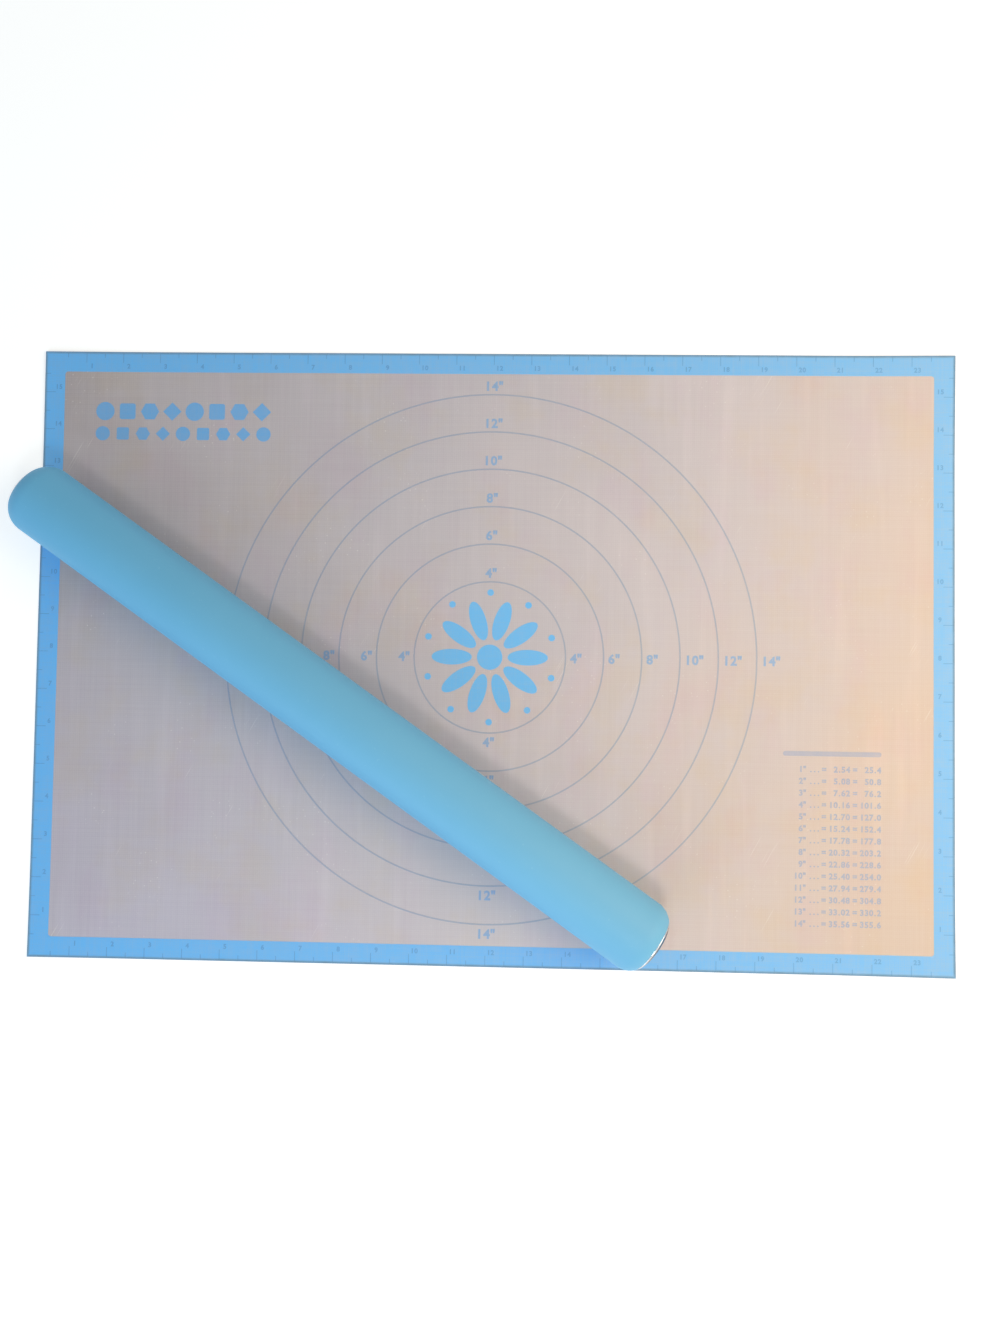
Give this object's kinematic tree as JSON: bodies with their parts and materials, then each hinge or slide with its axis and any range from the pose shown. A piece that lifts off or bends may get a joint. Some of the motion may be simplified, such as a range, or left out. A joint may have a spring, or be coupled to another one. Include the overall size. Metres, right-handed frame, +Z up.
{
  "type": "silicone baking mat",
  "caption": "Flat reinforced silicone baking mat with a blue ruled border and printed size rings, and a straight blue silicone rolling pin with rounded steel ends lying across it.",
  "frame": {"origin": "middle of the mat's underside, on the table", "axes": "+X along the mat's long side, +Y across the mat, away from the reader of its figures, +Z up from the table"},
  "size_m": [0.6229, 0.4114, 0.0492],
  "materials": {
    "clear_silicone": "satin, slightly see-through, with the cloth's weave showing",
    "glass_cloth": "plain woven glass fibre",
    "border_ink": "flat printed silicone ink, light blue",
    "ruler_ink": "flat printed silicone ink, darker blue",
    "line_ink": "thin printed silicone ink, grey blue",
    "figure_ink": "thin printed silicone ink, pale blue",
    "roller_silicone": "matt moulded silicone, clear blue",
    "core_steel": "drawn tube",
    "cap_steel": "polished stainless steel"
  },
  "bodies": {
    "mat": {"lower_silicone_coat": "clear_silicone", "upper_silicone_coat": "clear_silicone", "glass_fibre_mesh": "glass_cloth", "border_band": "border_ink", "ruler_ticks": "ruler_ink", "ring_4_inch": "line_ink", "ring_6_inch": "line_ink", "ring_8_inch": "line_ink", "ring_10_inch": "line_ink", "ring_12_inch": "line_ink", "ring_14_inch": "line_ink", "ring_numerals_top": "figure_ink", "ring_numerals_right": "figure_ink", "ring_numerals_bottom": "figure_ink", "ring_numerals_left": "figure_ink", "conversion_rule": "figure_ink", "cutter_shapes": "border_ink", "centre_rosette": "border_ink"},
    "pin_core": {"core_tube": "core_steel"},
    "pin_roller": {"silicone_sleeve": "roller_silicone", "left_end_cap": "cap_steel", "right_end_cap": "cap_steel"}
  },
  "joints": [
    {"name": "pin_travel", "type": "slide", "parent": "mat", "child": "pin_core", "axis": [0.5721, 0.8202, 0], "range_m": [-0.187, 0.283]},
    {"name": "pin_roll", "type": "hinge", "parent": "pin_core", "child": "pin_roller", "pos_m": [-0.0985, -0.0395, 0.02517], "axis": [-0.8202, 0.5721, 0], "range_deg": [-450, 680]}
  ],
  "couplings": [
    {"joint": "pin_roll", "follows": "pin_travel", "rad_per_m": 41.667}
  ]
}
